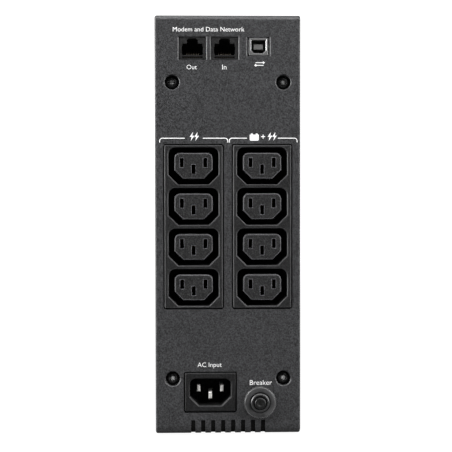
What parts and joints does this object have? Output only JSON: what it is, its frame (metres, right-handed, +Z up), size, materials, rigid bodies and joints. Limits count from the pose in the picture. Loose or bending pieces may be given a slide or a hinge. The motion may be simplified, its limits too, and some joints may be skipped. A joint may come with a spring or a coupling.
{
  "type": "uninterruptible power supply",
  "caption": "Slim upright backup power unit: moulded tower cabinet with rows of appliance outlets, mains inlet, data sockets and resettable breaker at the rear, battery tray at the front.",
  "frame": {"origin": "on the floor, under the middle of the cabinet's footprint", "axes": "+Z up, -Y out of the connection side, +Y out of the front with the power button, +X to the right when the connection side is faced"},
  "size_m": [0.087, 0.382, 0.252],
  "materials": {
    "panel_plastic": "matte",
    "shell_plastic": "matte",
    "bezel_plastic": "matte",
    "window_plastic": "gloss",
    "clear_plastic": "gloss",
    "socket_plastic": "satin",
    "jack_plastic": "satin",
    "inner_plastic": "matte",
    "tongue_plastic": "matte",
    "foot_rubber": "matte",
    "black_screw": "satin",
    "zinc_steel": "satin",
    "plated_pin": "polished",
    "nut_steel": "satin",
    "brass": "satin",
    "gold": "polished",
    "tin_steel": "satin",
    "board_green": "satin",
    "core_steel": "satin",
    "copper": "satin",
    "bobbin_nylon": "matte",
    "sink_aluminium": "satin",
    "epoxy_black": "satin",
    "can_sleeve": "gloss",
    "relay_case": "satin",
    "ferrite": "satin",
    "disc_blue": "satin",
    "wire_red": "satin",
    "wire_black": "satin",
    "battery_abs": "matte",
    "battery_lid": "matte",
    "lead": "matte",
    "connector_grey": "matte",
    "webbing": "matte",
    "slip_strip": "satin"
  },
  "bodies": {
    "case": {"rear_panel": "panel_plastic", "rear_screws": "black_screw", "left_shell": "shell_plastic", "right_shell": "shell_plastic", "rubber_feet": "foot_rubber", "outlet_housing_left": "socket_plastic", "outlet_housing_right": "socket_plastic", "outlet_cores_left": "socket_plastic", "outlet_cores_right": "socket_plastic", "outlet_contacts": "brass", "inlet_body": "socket_plastic", "inlet_pins": "plated_pin", "breaker_case": "inner_plastic", "breaker_nut": "nut_steel", "breaker_terminals": "tin_steel", "network_jack_out": "jack_plastic", "network_jack_in": "jack_plastic", "data_contacts": "gold", "usb_shell": "tin_steel", "usb_insulator": "tongue_plastic", "comm_board": "board_green", "surge_arrestors": "disc_blue", "front_bezel": "bezel_plastic", "display_window": "window_plastic", "button_ring": "clear_plastic", "power_switch": "inner_plastic", "status_light_pipes": "clear_plastic", "front_board": "board_green", "buzzer": "inner_plastic", "chassis_base": "zinc_steel", "glide_rails": "slip_strip", "rear_bulkhead": "zinc_steel", "shelf_plate": "zinc_steel", "transformer_core": "core_steel", "transformer_coil": "copper", "transformer_bobbin": "bobbin_nylon", "transformer_frame": "zinc_steel", "main_board": "board_green", "board_standoffs": "tin_steel", "inner_screws": "tin_steel", "heatsinks": "sink_aluminium", "power_transistors": "epoxy_black", "bulk_capacitors": "can_sleeve", "relays": "relay_case", "filter_choke": "ferrite", "mains_wiring": "wire_black", "battery_socket": "connector_grey"},
    "battery_tray": {"tray_pan": "zinc_steel", "battery_cases": "battery_abs", "battery_lids": "battery_lid", "battery_plates": "lead", "battery_terminals": "tin_steel", "battery_plug": "connector_grey", "plug_blades": "tin_steel", "battery_wiring": "wire_red", "pull_strap": "webbing", "strap_rivets": "tin_steel"},
    "battery_door": {"battery_door": "bezel_plastic"},
    "power_button": {"power_button": "bezel_plastic"},
    "breaker_button": {"breaker_button": "tongue_plastic"}
  },
  "joints": [
    {"name": "tray_slide", "type": "slide", "parent": "case", "child": "battery_tray", "axis": [0, 1, 0], "range_m": [0, 0.31]},
    {"name": "door_pull", "type": "slide", "parent": "battery_tray", "child": "battery_door", "axis": [0, 1, 0], "range_m": [0, 0.06]},
    {"name": "power_press", "type": "slide", "parent": "case", "child": "power_button", "axis": [0, -1, 0], "range_m": [0, 0.0018], "stiffness_N_per_m": 800, "springref_m": -0.001},
    {"name": "breaker_trip", "type": "slide", "parent": "case", "child": "breaker_button", "axis": [0, -1, 0], "range_m": [0, 0.0035]}
  ]
}
